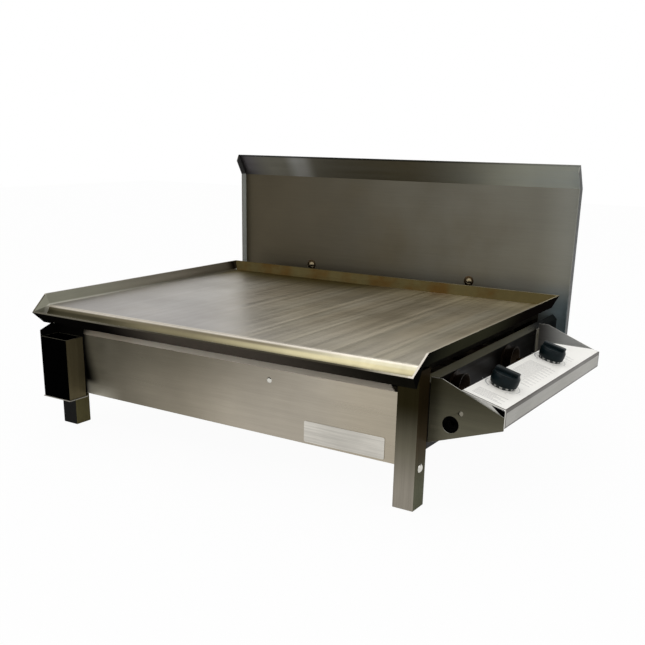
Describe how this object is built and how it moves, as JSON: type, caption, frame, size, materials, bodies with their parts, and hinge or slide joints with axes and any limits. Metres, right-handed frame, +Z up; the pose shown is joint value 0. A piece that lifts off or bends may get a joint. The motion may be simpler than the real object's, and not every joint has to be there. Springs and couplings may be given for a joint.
{
  "type": "built-in flat plate barbecue",
  "caption": "Low built-in gas barbecue: folded flat griddle plate with a front gutter over tube burners, splashback behind, knobs on a side control box, pull-out fat tin at front left.",
  "frame": {"origin": "middle of the footprint, on the bench that the feet stand on", "axes": "+X to the user's right, +Y to the splashback, +Z up"},
  "size_m": [0.8224, 0.625, 0.4518],
  "materials": {
    "body_steel": "brushed stainless, front-to-back grain",
    "splash_steel": "brushed stainless, upright grain",
    "griddle_steel": "ground steel, front-to-back grind lines",
    "tin_steel": "brushed stainless",
    "fastener_steel": "bright plated",
    "control_face": "pale satin coat",
    "burner_steel": "dull drawn tube",
    "brass": "machined",
    "bezel_metal": "bright ring",
    "knob_plastic": "moulded black"
  },
  "bodies": {
    "stand": {"burner_brackets": "body_steel", "collector_bracket": "body_steel", "control_panel": "control_face", "end_plate_rivet": "fastener_steel", "front_bezel": "bezel_metal", "front_burner": "burner_steel", "front_end_plate": "body_steel", "front_injector": "brass", "front_panel": "body_steel", "front_tap_body": "brass", "front_tap_nut": "brass", "front_venturi": "burner_steel", "gas_inlet_fitting": "brass", "gas_manifold": "burner_steel", "heat_shield": "body_steel", "left_side_panel": "body_steel", "leg_bolts": "fastener_steel", "leg_front_left": "body_steel", "leg_front_right": "body_steel", "leg_rear_left": "body_steel", "leg_rear_right": "body_steel", "manifold_brackets": "body_steel", "panel_screw": "fastener_steel", "plate_rail_left": "body_steel", "plate_rail_right": "body_steel", "rail_screws": "fastener_steel", "rear_bezel": "bezel_metal", "rear_burner": "burner_steel", "rear_end_plate": "body_steel", "rear_injector": "brass", "rear_panel": "body_steel", "rear_screws": "fastener_steel", "rear_tap_body": "brass", "rear_tap_nut": "brass", "rear_venturi": "burner_steel", "right_side_panel": "body_steel", "splash_straps": "body_steel", "splashback": "splash_steel", "strap_bolts": "fastener_steel", "strap_nuts": "fastener_steel"},
    "griddle": {"griddle_plate": "griddle_steel"},
    "fat_tin": {"fat_tin": "tin_steel"},
    "front_tap_plug": {"front_tap_plug": "brass"},
    "front_knob": {"front_tap_stem": "brass", "front_knob": "knob_plastic"},
    "rear_tap_plug": {"rear_tap_plug": "brass"},
    "rear_knob": {"rear_tap_stem": "brass", "rear_knob": "knob_plastic"}
  },
  "joints": [
    {"name": "griddle_lift", "type": "slide", "parent": "stand", "child": "griddle", "axis": [0, 0, 1], "range_m": [0, 0.12]},
    {"name": "tin_slide", "type": "slide", "parent": "stand", "child": "fat_tin", "axis": [0, -1, 0], "range_m": [0, 0.08]},
    {"name": "front_tap_turn", "type": "hinge", "parent": "stand", "child": "front_tap_plug", "pos_m": [0.37475, -0.1546, 0.16698], "axis": [0.2588, 0.0169, 0.9658], "range_deg": [0, 180]},
    {"name": "front_knob_push", "type": "slide", "parent": "front_tap_plug", "child": "front_knob", "axis": [-0.2588, -0.0169, -0.9658], "range_m": [0, 0.003], "stiffness_N_per_m": 800, "springref_m": -0.003},
    {"name": "rear_tap_turn", "type": "hinge", "parent": "stand", "child": "rear_tap_plug", "pos_m": [0.37475, 0.04837, 0.16343], "axis": [0.2588, 0.0169, 0.9658], "range_deg": [0, 180]},
    {"name": "rear_knob_push", "type": "slide", "parent": "rear_tap_plug", "child": "rear_knob", "axis": [-0.2588, -0.0169, -0.9658], "range_m": [0, 0.003], "stiffness_N_per_m": 800, "springref_m": -0.003}
  ]
}
